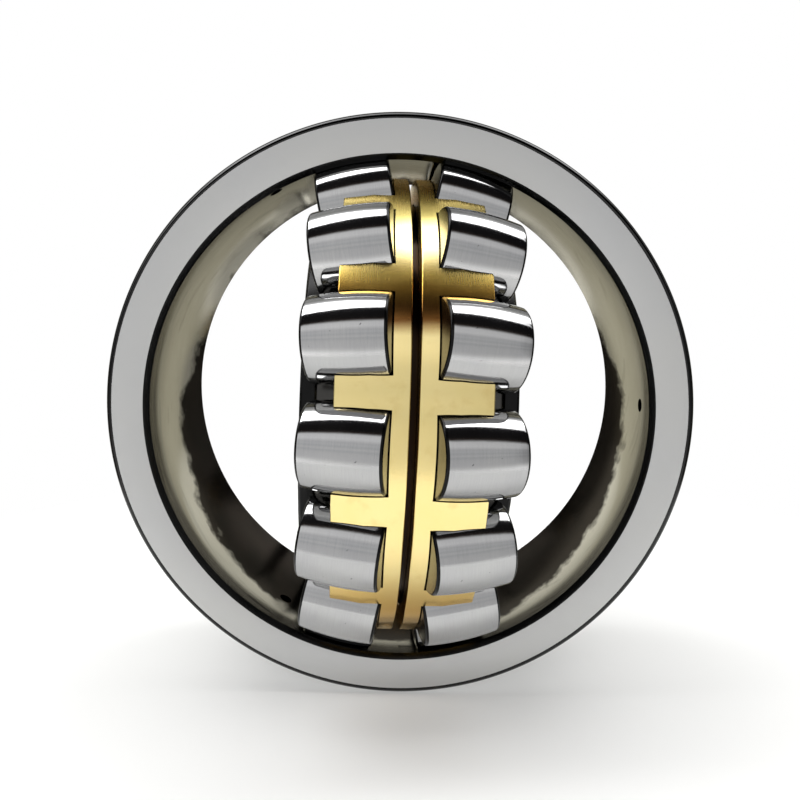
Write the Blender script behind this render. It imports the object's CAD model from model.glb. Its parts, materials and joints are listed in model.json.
"""Looks for the spherical roller bearing: satin rings, mirror ground rollers and turned brass cages."""

import json
import math

import bmesh
import bpy
from mathutils import Matrix, Vector


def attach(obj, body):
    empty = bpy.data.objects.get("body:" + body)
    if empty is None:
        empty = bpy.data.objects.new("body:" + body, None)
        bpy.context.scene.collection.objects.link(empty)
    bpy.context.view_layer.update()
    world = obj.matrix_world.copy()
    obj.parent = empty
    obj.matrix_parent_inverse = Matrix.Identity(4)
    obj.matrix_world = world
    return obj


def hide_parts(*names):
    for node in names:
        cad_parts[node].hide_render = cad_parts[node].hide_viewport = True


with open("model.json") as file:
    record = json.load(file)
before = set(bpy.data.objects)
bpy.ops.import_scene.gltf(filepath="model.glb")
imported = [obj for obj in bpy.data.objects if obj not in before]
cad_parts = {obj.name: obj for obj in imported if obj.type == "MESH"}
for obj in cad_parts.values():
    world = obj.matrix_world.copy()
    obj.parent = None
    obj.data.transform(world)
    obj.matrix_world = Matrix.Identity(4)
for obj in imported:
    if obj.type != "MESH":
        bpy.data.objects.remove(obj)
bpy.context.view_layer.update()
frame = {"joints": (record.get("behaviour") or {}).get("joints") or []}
joints = {joint["name"]: joint for joint in frame["joints"]}

# Sizes of the bearing, in metres, as in the CAD part
OUTER_RADIUS = 0.120
RING_HALF_WIDTH = 0.040
SPHERE_RADIUS = 0.10885
RACEWAY_HALF_WIDTH = 0.038
MOUTH_RADIUS = 0.1039
OUTER_CORNER = 0.0033
GROOVE_WIDTH = 0.0139
GROOVE_DEPTH = 0.002
OIL_HOLE_RADIUS = 0.003
OIL_HOLE_COUNT = 3
OIL_HOLE_CUT = 0.03
OIL_HOLE_CUT_MIDDLE = 0.114

ROLLERS_PER_ROW = 15
CONTACT_ANGLE = math.radians(13.35)
PITCH_DISTANCE = 0.09245
ROLLER_RADIUS = 0.01625
ROLLER_LENGTH = 0.0298
BARREL_RADIUS = 0.105
ROLLER_CORNER = 0.0012

BORE_RADIUS = 0.055
BORE_CHAMFER = 0.003
INNER_RACEWAY_RADIUS = 0.107
INNER_CONTACT_DISTANCE = 0.076
LAND_HALF_WIDTH = 0.0022
RIB_RADIUS = 0.0742
RIB_INNER_HALF_WIDTH = 0.0346
RIB_FOOT_HALF_WIDTH = 0.0339
RIB_CHAMFER = 0.001

GUIDE_BORE_RADIUS = 0.07915
GUIDE_OUTER_RADIUS = 0.088
GUIDE_END_CLEARANCE = 0.00025

CAGE_RADIUS = 0.0988
CAGE_HALF_GAP = 0.0015
CAGE_BODY_BORE = 0.0886
BAR_BORE = 0.085
BAR_ROOT = 0.006
BAR_KNEE = 0.0155
BAR_TIP = 0.027
BAR_TIP_RADIUS = 0.097
POCKET_CLEARANCE = 0.00035
POCKET_END_CLEARANCE = 0.0004
POCKET_REACH = 0.045

# Radii of the small eased edges, and the tolerance for telling surfaces apart
EASE = 0.0003
GUIDE_EASE = 0.0004
BORE_EASE = 0.0005
CAGE_INNER_EASE = 0.0004
CAGE_OUTER_EASE = 0.0006
BAR_EASE = 0.0005
TOUCH = 0.00003

# The part of the outer ring's rounded corner, next to its side face, that is still ground
GROUND_CORNER_SHARE = 0.08

# Mesh fineness: segments round a turned piece, and round a hole
RING_SEGMENTS = 360
INNER_SEGMENTS = 256
ROLLER_SEGMENTS = 144
POCKET_SEGMENTS = 120
OIL_HOLE_SEGMENTS = 48

# Camera: the bearing seen from the front, slightly from above
CAMERA_DISTANCE = 0.3539
CAMERA_AZIMUTH = math.radians(1.74)
CAMERA_ELEVATION = math.radians(8.73)
CAMERA_LENS = 34.83
CAMERA_SHIFT = (0.0004, 0.0052)

STUDIO_STRENGTH = 1.5

# Floor: a disc just under the bearing
FLOOR_RADIUS = 0.60
FLOOR_GAP = 0.0002

inner_dir = Vector(joints["inner_spin"]["axis"]).normalized()
swivel_dir = Vector(joints["swivel"]["axis"]).normalized()


# ---------------------------------------------------------------- mesh helpers


def arc(centre, radius, start, end, steps):
    """Points on an arc of a profile, with angles in degrees."""
    angles = [math.radians(start + (end - start) * step / steps) for step in range(steps + 1)]
    return [(centre[0] + radius * math.cos(a), centre[1] + radius * math.sin(a)) for a in angles]


def rounded(points, radii, steps=4):
    """A closed profile of (radius, height) points with each corner rounded by its own radius."""
    outline = []
    count = len(points)
    for index, (point, radius) in enumerate(zip(points, radii)):
        here = Vector(point)
        if radius == 0:
            outline.append(tuple(here))
            continue
        back = (Vector(points[index - 1]) - here).normalized()
        ahead = (Vector(points[(index + 1) % count]) - here).normalized()
        half = back.angle(ahead) / 2
        reach = radius / math.tan(half)
        middle = here + (back + ahead).normalized() * (radius / math.sin(half))
        first = here + back * reach - middle
        last = here + ahead * reach - middle
        sweep = first.angle(last)
        for step in range(steps + 1):
            share = step / steps
            mixed = first * math.sin((1 - share) * sweep) + last * math.sin(share * sweep)
            outline.append(tuple(middle + mixed / math.sin(sweep)))
    return outline


def new_object(name, mesh):
    """A new object for a mesh, linked to the scene."""
    piece = bpy.data.objects.new(name, mesh)
    bpy.context.scene.collection.objects.link(piece)
    return piece


def lathe_mesh(name, profile, segments, closed=True):
    """A mesh turned about Z from (radius, height) points; a point of radius 0 closes it at the axis."""
    mesh = bmesh.new()
    rings = []
    for radius, height in profile:
        if radius < 1e-9:
            rings.append([mesh.verts.new((0, 0, height))])
            continue
        turns = [2 * math.pi * step / segments for step in range(segments)]
        places = [(radius * math.cos(turn), radius * math.sin(turn), height) for turn in turns]
        rings.append([mesh.verts.new(place) for place in places])
    pairs = list(zip(rings, rings[1:] + rings[:1])) if closed else list(zip(rings, rings[1:]))
    for low, high in pairs:
        if len(low) == 1 and len(high) == 1:
            continue
        for step in range(segments):
            after = (step + 1) % segments
            if len(low) == 1:
                mesh.faces.new((low[0], high[after], high[step]))
            elif len(high) == 1:
                mesh.faces.new((low[step], low[after], high[0]))
            else:
                mesh.faces.new((low[step], low[after], high[after], high[step]))
    bmesh.ops.recalc_face_normals(mesh, faces=mesh.faces)
    data = bpy.data.meshes.new(name)
    mesh.to_mesh(data)
    mesh.free()
    return data


def smooth(data, sharp_degrees=28):
    """Smooth shading with sharp edges above an angle."""
    data.shade_smooth()
    data.set_sharp_from_angle(angle=math.radians(sharp_degrees))


def paint(data, materials, pick):
    """Give each face of a turned mesh one of the materials, picked by its radius and height."""
    data.materials.clear()
    for material in materials:
        data.materials.append(material)
    for face in data.polygons:
        face.material_index = pick(math.hypot(face.center.x, face.center.y), face.center.z)


def cut(piece, cutter):
    """Subtract the cutter from a piece, and remove the cutter."""
    modifier = piece.modifiers.new("cut", "BOOLEAN")
    modifier.object = cutter
    modifier.operation = "DIFFERENCE"
    modifier.solver = "EXACT"
    bpy.context.view_layer.update()
    depsgraph = bpy.context.evaluated_depsgraph_get()
    result = bpy.data.meshes.new_from_object(piece.evaluated_get(depsgraph))
    piece.modifiers.clear()
    piece.data = result
    bpy.data.objects.remove(cutter)


def frame_matrix(origin, axis, reference):
    """A placement whose Z is the axis and whose X is nearest to the reference direction."""
    z = Vector(axis).normalized()
    x = (reference - z * reference.dot(z)).normalized()
    y = z.cross(x)
    matrix = Matrix((x, y, z)).transposed().to_4x4()
    matrix.translation = Vector(origin)
    return matrix


# ---------------------------------------------------------------- material helpers


class Graph:
    """Short ways to add nodes to a shader node tree."""

    def __init__(self, tree):
        self.tree = tree

    def node(self, kind, inputs=None, **settings):
        """Add a node, set its properties, then its inputs by name or number, as values or links."""
        added = self.tree.nodes.new(kind)
        for key, value in settings.items():
            setattr(added, key, value)
        for key, value in (inputs or {}).items():
            if isinstance(value, bpy.types.NodeSocket):
                self.tree.links.new(value, added.inputs[key])
            else:
                added.inputs[key].default_value = (*value, 1) if isinstance(value, tuple) else value
        return added

    def math(self, operation, first, second=0.0, third=0.0, clamp=False):
        """A math node's result."""
        inputs = {0: first, 1: second, 2: third}
        return self.node("ShaderNodeMath", inputs, operation=operation, use_clamp=clamp).outputs[0]

    def noise(self, vector, scale, detail, roughness):
        """Value of a noise texture."""
        values = {"Vector": vector, "Scale": scale, "Detail": detail, "Roughness": roughness}
        return self.node("ShaderNodeTexNoise", values).outputs["Fac"]

    def ramp(self, factor, stops):
        """A colour ramp through (place, colour) stops; a plain number is a grey."""
        added = self.node("ShaderNodeValToRGB", {"Fac": factor})
        elements = added.color_ramp.elements
        while len(elements) < len(stops):
            elements.new(0.5)
        for element, (place, colour) in zip(elements, stops):
            element.position = place
            grey = isinstance(colour, (int, float))
            element.color = (colour, colour, colour, 1) if grey else (*colour, 1)
        return added.outputs["Color"]

    def mix(self, factor, first, second, blend="MIX"):
        """Mix of two colours."""
        inputs = {0: factor, 6: first, 7: second}
        return self.node("ShaderNodeMix", inputs, data_type="RGBA", blend_type=blend).outputs[2]

    def multiply(self, first, second):
        """Product of two colours."""
        return self.mix(1.0, first, second, "MULTIPLY")


class Surface(Graph):
    """A node material with a Principled shader."""

    def __init__(self, name):
        self.material = bpy.data.materials.new(name)
        self.material.use_nodes = True
        super().__init__(self.material.node_tree)
        self.shader = self.tree.nodes["Principled BSDF"]

    def turned(self, around, along):
        """Coordinates that run slowly round local Z and quickly across it, as turning marks do."""
        x, y, z = self.node("ShaderNodeSeparateXYZ", {0: self.place()}).outputs
        square = self.math("ADD", self.math("MULTIPLY", x, x), self.math("MULTIPLY", y, y))
        radius = self.math("SQRT", square)
        outwards = self.math("MULTIPLY", radius, along)
        across = self.math("ADD", outwards, self.math("MULTIPLY", z, along))
        cosine = self.math("MULTIPLY", self.math("DIVIDE", x, radius), around)
        sine = self.math("MULTIPLY", self.math("DIVIDE", y, radius), around)
        return self.node("ShaderNodeCombineXYZ", {0: cosine, 1: sine, 2: across}).outputs[0]

    def place(self):
        """Object coordinates."""
        return self.node("ShaderNodeTexCoord").outputs["Object"]

    def bump(self, height, strength, distance):
        """Bump from a height, into the shader's normal."""
        added = self.node("ShaderNodeBump", {"Height": height, "Strength": strength, "Distance": distance})
        self.tree.links.new(added.outputs["Normal"], self.shader.inputs["Normal"])

    def link(self, value, socket):
        """Link a value to the shader's socket."""
        self.tree.links.new(value, self.shader.inputs[socket])


def steel_roller_material():
    """Mirror ground roller steel: faint haze, grinding lines round the barrel and a few small pits."""
    surface = Surface("roller_steel")
    surface.shader.inputs["Metallic"].default_value = 1.0
    place = surface.place()
    cloud = surface.noise(place, 90, 3, 0.5)
    lines = surface.noise(surface.turned(2.0, 3000), 1.0, 3, 0.6)
    tone = surface.mix(cloud, (0.42, 0.42, 0.43), (0.49, 0.49, 0.485))
    streaks = surface.ramp(lines, ((0.30, 0.94), (0.60, 1.0)))
    tone = surface.multiply(tone, streaks)
    pits = surface.ramp(surface.noise(place, 900, 1, 0.4), ((0.17, 0.25), (0.20, 1.0)))
    surface.link(surface.multiply(tone, pits), "Base Color")
    haze = surface.math("MULTIPLY_ADD", cloud, 0.05, 0.04)
    surface.link(surface.math("MULTIPLY_ADD", lines, 0.04, haze), "Roughness")
    waves = surface.noise(place, 320, 2, 0.5)
    surface.bump(surface.math("MULTIPLY_ADD", lines, 0.1, waves), 0.25, 0.00005)
    return surface.material


def ground_steel_material():
    """Satin ground steel, for the faces and cylinders of the rings and the outer ends of the rollers."""
    surface = Surface("ground_steel")
    surface.shader.inputs["Metallic"].default_value = 1.0
    place = surface.place()
    cloud = surface.noise(place, 18, 4, 0.5)
    grain = surface.noise(place, 1800, 2, 0.6)
    lines = surface.noise(surface.turned(6.0, 2500), 1.0, 4, 0.6)
    tone = surface.mix(cloud, (0.55, 0.555, 0.565), (0.60, 0.595, 0.575))
    surface.link(tone, "Base Color")
    worn = surface.math("MULTIPLY_ADD", cloud, 0.08, 0.42)
    surface.link(surface.math("MULTIPLY_ADD", grain, 0.06, worn), "Roughness")
    surface.bump(surface.math("ADD", lines, grain), 0.12, 0.00004)
    return surface.material


def raceway_material():
    """Polished raceway: a khaki film of oil, fine scratches, and dark oil pooled low at the back."""
    surface = Surface("raceway_steel")
    surface.shader.inputs["Metallic"].default_value = 1.0
    surface.shader.inputs["Specular Tint"].default_value = (0.6, 0.59, 0.57, 1)
    place = surface.place()
    # local Z points to the front and local Y up
    x, y, z = surface.node("ShaderNodeSeparateXYZ", {0: place}).outputs
    smear = surface.noise(surface.turned(2.2, 45), 1.0, 4, 0.55)
    cloud = surface.noise(place, 30, 3, 0.5)
    streak = surface.noise(surface.turned(9.0, 700), 1.0, 3, 0.6)
    # scratches that run aslant round the ring, mostly near its front edge
    around = surface.math("MULTIPLY", surface.math("ARCTAN2", x, y), SPHERE_RADIUS)
    across = surface.math("MULTIPLY_ADD", around, 0.22, z)
    along = surface.math("MULTIPLY", around, 24)
    slant = surface.node("ShaderNodeCombineXYZ", {0: along, 1: surface.math("MULTIPLY", across, 170)})
    scored = surface.noise(slant.outputs[0], 1.0, 2, 0.5)
    tone = surface.mix(smear, (0.45, 0.43, 0.35), (0.67, 0.645, 0.56))
    dark = surface.ramp(scored, ((0.385, 1.0), (0.40, 0.0)))
    near_front = surface.math("MULTIPLY_ADD", z, 80, -1.2, clamp=True)
    scratch = surface.math("MULTIPLY", dark, surface.math("MULTIPLY_ADD", near_front, 0.90, 0.10))
    tone = surface.mix(scratch, tone, (0.05, 0.045, 0.035))
    # the pooled oil reaches further forward towards the bottom of the ring
    depth = surface.math("MULTIPLY_ADD", y, -0.5 / SPHERE_RADIUS, 0.5)
    reach = surface.ramp(
        depth,
        (
            (0.0, 0.12),
            (0.10, 0.06),
            (0.20, 0.0),
            (0.34, 0.0),
            (0.50, 0.26),
            (0.68, 0.36),
            (0.85, 0.52),
            (1.0, 0.74),
        ),
    )
    edge = surface.math("MULTIPLY_ADD", reach, 2 * RACEWAY_HALF_WIDTH, -RACEWAY_HALF_WIDTH)
    ragged = surface.noise(place, 75, 5, 0.6)
    edge = surface.math("MULTIPLY_ADD", surface.math("SUBTRACT", ragged, 0.5), 0.022, edge)
    pool = surface.math("MULTIPLY", surface.math("SUBTRACT", edge, z), 200, clamp=True)
    oil = surface.mix(surface.noise(place, 60, 3, 0.5), (0.003, 0.003, 0.0025), (0.030, 0.022, 0.018))
    surface.link(surface.mix(surface.math("MULTIPLY", pool, 0.97), tone, oil), "Base Color")
    surface.link(surface.math("MULTIPLY_ADD", cloud, 0.12, 0.10), "Roughness")
    surface.bump(streak, 0.08, 0.00005)
    return surface.material


def brass_material():
    """Turned brass with fine turning marks and small nicks, clean in places and tarnished in others."""
    surface = Surface("cage_brass")
    surface.shader.inputs["Metallic"].default_value = 1.0
    place = surface.place()
    cloud = surface.noise(place, 45, 4, 0.55)
    lines = surface.noise(surface.turned(3.0, 2600), 1.0, 4, 0.65)
    nick = surface.noise(place, 330, 2, 0.5)
    tone = surface.mix(cloud, (0.93, 0.73, 0.28), (0.98, 0.82, 0.42))
    # local X is up, and local Y towards the front, where the brass is rubbed clean
    x, y, _ = surface.node("ShaderNodeSeparateXYZ", {0: place}).outputs
    ragged = surface.math("MULTIPLY_ADD", cloud, 0.02, -0.01)
    up = surface.math("ADD", surface.math("MULTIPLY_ADD", x, 0.5 / CAGE_RADIUS, 0.5), ragged)
    patina = surface.ramp(
        up,
        (
            (0.16, (0.72, 0.54, 0.28)),
            (0.26, 1.0),
            (0.692, 1.0),
            (0.716, (0.32, 0.17, 0.10)),
            (0.738, (0.42, 0.25, 0.14)),
            (0.765, (0.88, 0.62, 0.26)),
            (0.79, (1.0, 0.88, 0.50)),
            (0.82, 1.0),
            (0.87, 1.0),
            (0.90, (0.46, 0.47, 0.32)),
            (0.94, (0.68, 0.62, 0.36)),
        ),
    )
    tone = surface.multiply(tone, patina)
    behind = surface.math("MULTIPLY", surface.math("MULTIPLY", y, -100.0, clamp=True), 0.8)
    spots = surface.ramp(surface.noise(place, 110, 5, 0.6), ((0.55, 0.0), (0.72, 0.25)))
    tarnish = surface.math("MAXIMUM", behind, spots)
    surface.link(surface.mix(tarnish, tone, (0.70, 0.45, 0.12)), "Base Color")
    dull = surface.math("MAXIMUM", tarnish, surface.ramp(up, ((0.735, 0.0), (0.78, 1.0))))
    worn = surface.math("MULTIPLY_ADD", cloud, 0.08, surface.math("MULTIPLY_ADD", dull, 0.10, 0.10))
    surface.link(surface.math("MULTIPLY_ADD", lines, 0.06, worn), "Roughness")
    dents = surface.ramp(nick, ((0.24, 0.0), (0.30, 1.0)))
    surface.bump(surface.math("ADD", surface.math("MULTIPLY", lines, 0.5), dents), 0.12, 0.0001)
    return surface.material


def black_scale_material(name, tone, roughness, tint=(1.0, 1.0, 1.0)):
    """Turned steel with its black heat treatment scale, rubbed bright in a few fine lines."""
    surface = Surface(name)
    surface.shader.inputs["Metallic"].default_value = 1.0
    place = surface.place()
    cloud = surface.noise(place, 120, 4, 0.6)
    lines = surface.noise(surface.turned(2.0, 1800), 1.0, 4, 0.7)
    rubbed = surface.ramp(lines, ((0.62, 0.0), (0.74, 1.0)))
    low, high = (tuple(tone * share * part for part in tint) for share in (0.75, 1.25))
    base = surface.mix(cloud, low, high)
    bright = surface.math("MULTIPLY", rubbed, 0.15)
    surface.link(surface.mix(bright, base, (0.40, 0.39, 0.38)), "Base Color")
    surface.link(surface.math("MULTIPLY_ADD", cloud, 0.08, roughness - 0.04), "Roughness")
    surface.bump(lines, 0.10, 0.00005)
    return surface.material


def oiled_steel_material(name, tone):
    """Ground steel under a dark film of oil."""
    surface = Surface(name)
    surface.shader.inputs["Metallic"].default_value = 1.0
    place = surface.place()
    cloud = surface.noise(place, 40, 4, 0.5)
    lines = surface.noise(surface.turned(3.0, 2200), 1.0, 3, 0.6)
    low = (tone * 0.75, tone * 0.73, tone * 0.70)
    high = (tone * 1.3, tone * 1.25, tone * 1.15)
    surface.link(surface.mix(cloud, low, high), "Base Color")
    surface.link(surface.math("MULTIPLY_ADD", cloud, 0.12, 0.12), "Roughness")
    surface.bump(lines, 0.08, 0.00005)
    return surface.material


# ---------------------------------------------------------------- pieces


def outer_ring_mesh():
    """Blank of the outer ring about local Z."""
    edge_angle = math.degrees(math.asin(RACEWAY_HALF_WIDTH / SPHERE_RADIUS))
    raceway = arc((0, 0), SPHERE_RADIUS, -edge_angle, edge_angle, 56)
    corner = OUTER_RADIUS - OUTER_CORNER
    shoulder = RING_HALF_WIDTH - OUTER_CORNER
    top = arc((corner, shoulder), OUTER_CORNER, 90, 0, 12)
    bottom = arc((corner, -shoulder), OUTER_CORNER, 0, -90, 12)
    groove_radius = ((GROOVE_WIDTH / 2) ** 2 + GROOVE_DEPTH**2) / (2 * GROOVE_DEPTH)
    groove_angle = math.degrees(math.asin(GROOVE_WIDTH / 2 / groove_radius))
    groove_centre = (OUTER_RADIUS - GROOVE_DEPTH + groove_radius, 0)
    groove = arc(groove_centre, groove_radius, 180 - groove_angle, 180 + groove_angle, 12)
    mouth_top = [(MOUTH_RADIUS - EASE, RING_HALF_WIDTH - EASE), (MOUTH_RADIUS + EASE, RING_HALF_WIDTH)]
    mouth_bottom = [(radius, -height) for radius, height in reversed(mouth_top)]
    profile = raceway + mouth_top + top + groove + bottom + mouth_bottom
    return lathe_mesh("outer_ring", profile, RING_SEGMENTS)


def outer_ring_surface(radius, height):
    """0 ground, 1 raceway, 2 black scale, 3 polished corner."""
    if abs(height) > RING_HALF_WIDTH - TOUCH or radius > OUTER_RADIUS - TOUCH:
        return 0
    if abs(height) < RACEWAY_HALF_WIDTH and abs(math.hypot(radius, height) - SPHERE_RADIUS) < TOUCH:
        return 1
    corner = OUTER_RADIUS - OUTER_CORNER
    if radius > corner and abs(height) > RING_HALF_WIDTH - OUTER_CORNER:
        return 3 if radius > corner + OUTER_CORNER * GROUND_CORNER_SHARE else 0
    return 2


def build_outer_ring(materials):
    """The outer ring with its three oil holes."""
    piece = new_object("outer_ring_ground", outer_ring_mesh())
    cutter = bmesh.new()
    for index in range(OIL_HOLE_COUNT):
        turn = 2 * math.pi * index / OIL_HOLE_COUNT
        direction = Vector((math.cos(turn), math.sin(turn), 0))
        bmesh.ops.create_cone(
            cutter,
            cap_ends=True,
            segments=OIL_HOLE_SEGMENTS,
            radius1=OIL_HOLE_RADIUS,
            radius2=OIL_HOLE_RADIUS,
            depth=OIL_HOLE_CUT,
            matrix=frame_matrix(direction * OIL_HOLE_CUT_MIDDLE, direction, Vector((0, 0, 1))),
        )
    cutter_data = bpy.data.meshes.new("oil_holes")
    cutter.to_mesh(cutter_data)
    cutter.free()
    cut(piece, new_object("oil_holes", cutter_data))
    smooth(piece.data)
    paint(piece.data, materials, outer_ring_surface)
    # local Z points to the front, along -Y, and local Y points up
    piece.matrix_world = Matrix(((1, 0, 0, 0), (0, 0, -1, 0), (0, 1, 0, 0), (0, 0, 0, 1)))
    return piece


def roller_mesh():
    """Barrel roller about local Z with rounded corners."""
    half = ROLLER_LENGTH / 2
    axis_offset = BARREL_RADIUS - ROLLER_RADIUS
    corner_reach = BARREL_RADIUS - ROLLER_CORNER
    corner_height = half - ROLLER_CORNER
    corner_radius = math.sqrt(corner_reach**2 - corner_height**2) - axis_offset
    start = math.degrees(math.asin(corner_height / corner_reach))
    barrel = arc((-axis_offset, 0), BARREL_RADIUS, -start, start, 32)
    corner = arc((corner_radius, corner_height), ROLLER_CORNER, start, 90, 9)
    upper = corner[1:] + [(0, half)]
    lower = [(radius, -height) for radius, height in reversed(upper)]
    data = lathe_mesh("roller", lower + barrel + upper, ROLLER_SEGMENTS, closed=False)
    smooth(data, 24)
    return data


def roller_surface(radius, height):
    """0 ground barrel, 1 black corners, 2 oiled inner end, 3 ground outer end."""
    half = ROLLER_LENGTH / 2
    barrel_end = BARREL_RADIUS * (half - ROLLER_CORNER) / (BARREL_RADIUS - ROLLER_CORNER)
    if abs(height) > half - TOUCH / 2:
        return 3 if height > 0 else 2
    return int(abs(height) > barrel_end)


def build_rollers(materials):
    """Thirty rollers, each placed by its own joint."""
    data = roller_mesh()
    paint(data, materials, roller_surface)
    for row, side in (("left", -1), ("right", 1)):
        for index in range(1, ROLLERS_PER_ROW + 1):
            node = f"roller_{row}_{index:02d}"
            joint = joints[f"{node}_spin"]
            piece = new_object(f"{node}_ground", data)
            outward = Vector(joint["axis"]) * side
            piece.matrix_world = frame_matrix(joint["pos_m"], outward, Vector(joint["pos_m"]))
            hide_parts(node)
            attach(piece, node)


def inner_raceway(height):
    """Radius of the inner raceway at a height from the ring's middle."""
    distance = INNER_CONTACT_DISTANCE + INNER_RACEWAY_RADIUS
    rise = abs(height) - distance * math.sin(CONTACT_ANGLE)
    return distance * math.cos(CONTACT_ANGLE) - math.sqrt(INNER_RACEWAY_RADIUS**2 - rise**2)


def inner_ring_surface(radius, height):
    """0 ground bore and sides, 1 raceway and land, 2 black ribs and chamfers."""
    if radius < BORE_RADIUS + TOUCH or abs(height) > RING_HALF_WIDTH - TOUCH:
        return 0
    if abs(height) < RIB_FOOT_HALF_WIDTH:
        return 1
    return 2


def build_inner_ring(materials):
    """Inner ring about the inner axis."""
    steps = 20
    span = RIB_FOOT_HALF_WIDTH - LAND_HALF_WIDTH
    heights = [LAND_HALF_WIDTH + span * step / steps for step in range(steps + 1)]
    raceway = [(inner_raceway(height), height) for height in heights]
    rib = rounded(
        [
            (RIB_RADIUS, RIB_INNER_HALF_WIDTH),
            (RIB_RADIUS, RING_HALF_WIDTH - RIB_CHAMFER),
            (RIB_RADIUS - RIB_CHAMFER, RING_HALF_WIDTH),
            (BORE_RADIUS + BORE_CHAMFER, RING_HALF_WIDTH),
            (BORE_RADIUS, RING_HALF_WIDTH - BORE_CHAMFER),
        ],
        [0, EASE, EASE, BORE_EASE, BORE_EASE],
        3,
    )
    upper = raceway + rib
    lower = [(radius, -height) for radius, height in reversed(upper)]
    data = lathe_mesh("inner_ring", lower + upper, INNER_SEGMENTS)
    smooth(data)
    paint(data, materials, inner_ring_surface)
    piece = new_object("inner_ring_ground", data)
    piece.matrix_world = frame_matrix((0, 0, 0), inner_dir, swivel_dir)
    return piece


def roller_end_height(radius):
    """Height, at this radius, of the plane of the rollers' inner end faces."""
    end_radius = PITCH_DISTANCE * math.cos(CONTACT_ANGLE) + ROLLER_LENGTH / 2 * math.sin(CONTACT_ANGLE)
    end_height = PITCH_DISTANCE * math.sin(CONTACT_ANGLE) - ROLLER_LENGTH / 2 * math.cos(CONTACT_ANGLE)
    return end_height + (radius - end_radius) * math.tan(CONTACT_ANGLE)


def build_guide_ring(steel):
    """Guide ring about the inner axis, with sides that follow the roller ends."""
    gap = GUIDE_END_CLEARANCE / math.cos(CONTACT_ANGLE)
    low = roller_end_height(GUIDE_BORE_RADIUS) - gap
    high = roller_end_height(GUIDE_OUTER_RADIUS) - gap
    corners = [
        (GUIDE_BORE_RADIUS, -low),
        (GUIDE_OUTER_RADIUS, -high),
        (GUIDE_OUTER_RADIUS, high),
        (GUIDE_BORE_RADIUS, low),
    ]
    data = lathe_mesh("guide_ring", rounded(corners, [GUIDE_EASE] * len(corners)), INNER_SEGMENTS)
    smooth(data)
    data.materials.append(steel)
    piece = new_object("guide_ring_turned", data)
    piece.matrix_world = frame_matrix((0, 0, 0), inner_dir, swivel_dir)
    return piece


def pocket_mesh():
    """Cutter for one pocket about local Z: barrel shaped up to the roller's middle, then a plain bore."""
    depth = ROLLER_LENGTH / 2 + POCKET_END_CLEARANCE
    arc_radius = BARREL_RADIUS + POCKET_CLEARANCE
    start = math.degrees(math.asin(depth / arc_radius))
    barrel = arc((ROLLER_RADIUS - BARREL_RADIUS, 0), arc_radius, -start, 0, 16)
    radius = ROLLER_RADIUS + POCKET_CLEARANCE
    profile = [(0, -depth)] + barrel + [(radius, POCKET_REACH), (0, POCKET_REACH)]
    return lathe_mesh("pocket", profile, POCKET_SEGMENTS, closed=False)


def build_cage(row, side, brass):
    """One comb cage about the inner axis: a turned blank with a bored pocket for each roller."""
    blank = rounded(
        [
            (CAGE_BODY_BORE, CAGE_HALF_GAP),
            (CAGE_RADIUS, CAGE_HALF_GAP),
            (CAGE_RADIUS, BAR_KNEE),
            (BAR_TIP_RADIUS, BAR_TIP),
            (BAR_BORE, BAR_TIP),
            (BAR_BORE, BAR_ROOT),
            (CAGE_BODY_BORE, BAR_ROOT),
        ],
        [CAGE_INNER_EASE, CAGE_OUTER_EASE, 0, CAGE_OUTER_EASE, BAR_EASE, CAGE_INNER_EASE, 0],
    )
    profile = [(radius, side * height) for radius, height in blank]
    data = lathe_mesh(f"cage_{row}", profile, RING_SEGMENTS)
    piece = new_object(f"cage_{row}_turned", data)
    placed = frame_matrix((0, 0, 0), inner_dir, swivel_dir)
    into_cage = placed.inverted()
    pocket = pocket_mesh()
    cutter = bmesh.new()
    for index in range(1, ROLLERS_PER_ROW + 1):
        joint = joints[f"roller_{row}_{index:02d}_spin"]
        middle = Vector(joint["pos_m"])
        bored = pocket.copy()
        bored.transform(into_cage @ frame_matrix(middle, Vector(joint["axis"]) * side, -middle))
        cutter.from_mesh(bored)
    cutter_data = bpy.data.meshes.new("pockets")
    cutter.to_mesh(cutter_data)
    cutter.free()
    cut(piece, new_object("pockets", cutter_data))
    smooth(piece.data)
    piece.data.materials.clear()
    piece.data.materials.append(brass)
    piece.matrix_world = placed
    return piece


# ---------------------------------------------------------------- stage


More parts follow.
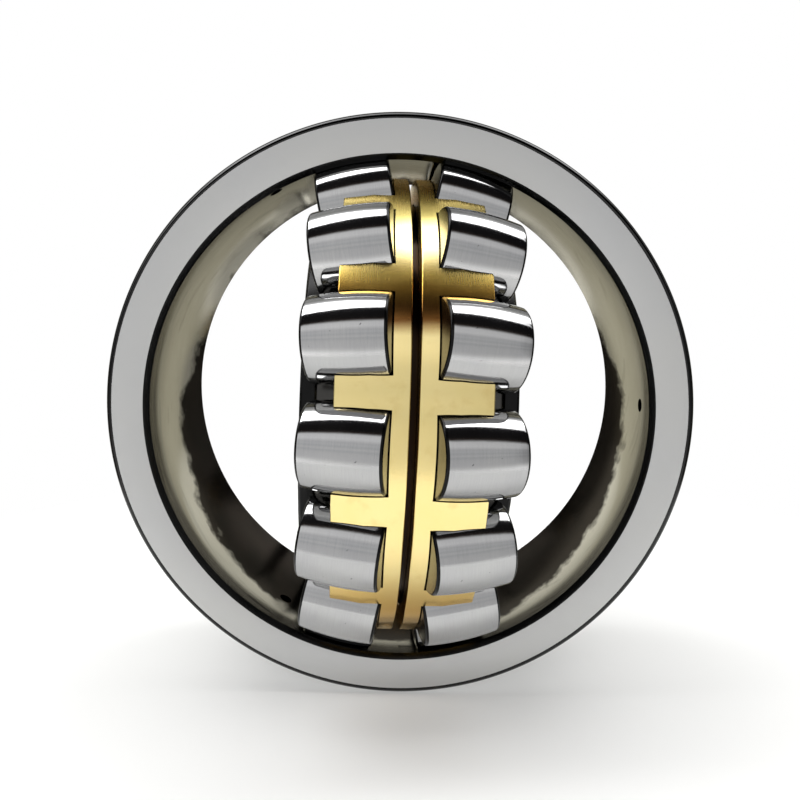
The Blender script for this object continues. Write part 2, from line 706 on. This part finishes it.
def build_world():
    """Studio surroundings: a long softbox overhead, a dark flag in front of it, and grey walls."""
    world = bpy.data.worlds.new("studio")
    bpy.context.scene.world = world
    world.use_nodes = True
    world.node_tree.nodes.clear()
    graph = Graph(world.node_tree)
    generated = graph.node("ShaderNodeTexCoord").outputs["Generated"]
    x, y, z = graph.node("ShaderNodeSeparateXYZ", {0: generated}).outputs
    # the bands of the studio, by angle in degrees about X: 0 in front, 90 overhead, -90 below
    towards_camera = graph.math("MULTIPLY", y, -1.0)
    height = graph.math("MULTIPLY", graph.math("ARCTAN2", z, towards_camera), 180 / math.pi)
    sideways = graph.math("ABSOLUTE", x)
    # the softbox hangs askew, and reaches further back towards its two ends: the first grows from 35
    # to 80 degrees, the second from 92 to 102
    aloft = graph.math("MULTIPLY_ADD", height, 1 / 45, -35 / 45, clamp=True)
    beyond = graph.math("MULTIPLY_ADD", height, 1 / 10, -92 / 10, clamp=True)
    askew = graph.math("MULTIPLY", graph.math("MULTIPLY", aloft, x), -9.0)
    flared = graph.math("MULTIPLY", graph.math("MULTIPLY", beyond, sideways), -16.0)
    slanted = graph.math("ADD", graph.math("SUBTRACT", height, 4.0), graph.math("ADD", askew, flared))
    stops = (
        (-180, (0.42, 0.41, 0.35)),
        (-164, (0.40, 0.39, 0.335)),
        (-140, (0.22, 0.21, 0.18)),
        (-110, (0.45, 0.44, 0.42)),
        (-84, (0.85, 0.84, 0.82)),
        (-44, (1.12, 1.11, 1.09)),
        (-36, (0.88, 0.88, 0.87)),
        (-28, (0.62, 0.62, 0.61)),
        (-22, (0.53, 0.53, 0.53)),
        (-6, (0.50, 0.50, 0.50)),
        (0, (0.44, 0.445, 0.45)),
        (5, (0.52, 0.52, 0.52)),
        (11, (0.44, 0.445, 0.45)),
        (16, (0.50, 0.505, 0.51)),
        (21, (0.47, 0.47, 0.475)),
        (30, (0.66, 0.66, 0.66)),
        (41, (0.62, 0.62, 0.62)),
        (47, (0.026, 0.019, 0.015)),
        (52, (0.008, 0.007, 0.007)),
        (80, (0.005, 0.005, 0.006)),
        (83.5, (4.6, 4.6, 4.6)),
        (100, (4.6, 4.6, 4.6)),
        (104, (0.90, 0.90, 0.90)),
        (110, (0.45, 0.45, 0.44)),
        (116, (0.28, 0.28, 0.27)),
        (146, (0.40, 0.40, 0.37)),
        (156, (0.66, 0.66, 0.63)),
        (170, (0.64, 0.64, 0.60)),
        (177, (0.44, 0.43, 0.37)),
    )
    share = graph.math("MULTIPLY_ADD", slanted, 1 / 360, 0.5)
    bands = graph.ramp(share, [(angle / 360 + 0.5, colour) for angle, colour in stops])
    # the sides are in shadow, more of them behind the bearing than in front
    front = graph.ramp(sideways, ((0.78, 1.0), (0.95, 0.25)))
    back = graph.ramp(sideways, ((0.0, 0.62), (0.35, 1.0), (0.60, 1.0), (0.75, 0.15)))
    behind = graph.math("MULTIPLY_ADD", y, 4.0, 0.5, clamp=True)
    brighter_left = graph.math("MULTIPLY_ADD", x, -0.15, 1.0)
    shadow = graph.multiply(graph.mix(behind, front, back), brighter_left)
    lit_colour = graph.multiply(bands, shadow)
    lit = graph.node("ShaderNodeBackground", {"Color": lit_colour, "Strength": STUDIO_STRENGTH}).outputs[0]
    plain = graph.node("ShaderNodeBackground", {"Color": (1.0, 1.0, 1.0)}).outputs[0]
    seen = graph.node("ShaderNodeLightPath").outputs["Is Camera Ray"]
    shown = graph.node("ShaderNodeMixShader", {0: seen, 1: lit, 2: plain}).outputs[0]
    graph.node("ShaderNodeOutputWorld", {"Surface": shown})


def build_floor():
    """A pale floor that fades into the backdrop away from the bearing."""
    rings = 12
    profile = [(FLOOR_RADIUS * step / rings, 0) for step in range(rings + 1)]
    data = lathe_mesh("floor", profile, 96, closed=False)
    for face in data.polygons:
        if face.normal.z < 0:
            data.flip_normals()
            break
    surface = Surface("pale_floor")
    surface.shader.inputs["Base Color"].default_value = (0.62, 0.62, 0.61, 1)
    surface.shader.inputs["Roughness"].default_value = 0.9
    surface.shader.inputs["Emission Color"].default_value = (1.0, 1.0, 0.99, 1)
    surface.shader.inputs["Emission Strength"].default_value = 0.30
    place = surface.place()
    far = surface.node("ShaderNodeVectorMath", {0: place}, operation="LENGTH").outputs["Value"]
    fade = surface.ramp(far, ((0.28, 1.0), (0.37, 0.0)))
    fine = surface.noise(place, 400, 3, 0.5)
    surface.bump(fine, 0.03, 0.0002)
    surface.link(fade, "Alpha")
    data.materials.append(surface.material)
    floor = new_object("floor", data)
    floor.location = (0, 0, -OUTER_RADIUS - FLOOR_GAP)


def build_camera():
    """The camera, in front of the bearing and slightly above its middle."""
    back = Vector(
        (
            math.sin(CAMERA_AZIMUTH) * math.cos(CAMERA_ELEVATION),
            -math.cos(CAMERA_AZIMUTH) * math.cos(CAMERA_ELEVATION),
            math.sin(CAMERA_ELEVATION),
        )
    )
    data = bpy.data.cameras.new("camera")
    data.lens = CAMERA_LENS
    data.sensor_width = 36
    data.shift_x, data.shift_y = CAMERA_SHIFT
    data.clip_start = 0.01
    camera = bpy.data.objects.new("camera", data)
    bpy.context.scene.collection.objects.link(camera)
    camera.location = back * CAMERA_DISTANCE
    camera.rotation_euler = (-back).to_track_quat("-Z", "Y").to_euler()
    bpy.context.scene.camera = camera


# ---------------------------------------------------------------- scene

bpy.context.scene.view_settings.view_transform = "Standard"
build_camera()
build_world()
build_floor()

ground_steel = ground_steel_material()
raceway_steel = raceway_material()
roller_steel = steel_roller_material()
cage_brass = brass_material()
black_scale = black_scale_material("black_scale", 0.016, 0.22)
polished_corner = black_scale_material("polished_corner", 0.035, 0.09)
guide_steel = black_scale_material("guide_ring_steel", 0.014, 0.16, (1.0, 0.6, 0.4))
inner_raceway_steel = oiled_steel_material("oiled_raceway", 0.07)
roller_end_steel = oiled_steel_material("oiled_roller_end", 0.20)

outer_materials = (ground_steel, raceway_steel, black_scale, polished_corner)
inner_materials = (ground_steel, inner_raceway_steel, black_scale)
for made, node, slot in (
    (build_outer_ring(outer_materials), "outer_ring", "outer_ring_steel"),
    (build_inner_ring(inner_materials), "inner_ring", "inner_ring_steel"),
    (build_guide_ring(guide_steel), "guide_ring", "guide_ring_steel"),
    (build_cage("left", -1, cage_brass), "cage_left", "cage_brass"),
    (build_cage("right", 1, cage_brass), "cage_right", "cage_brass"),
):
    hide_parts(node)
    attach(made, node)
build_rollers((roller_steel, black_scale, roller_end_steel, ground_steel))
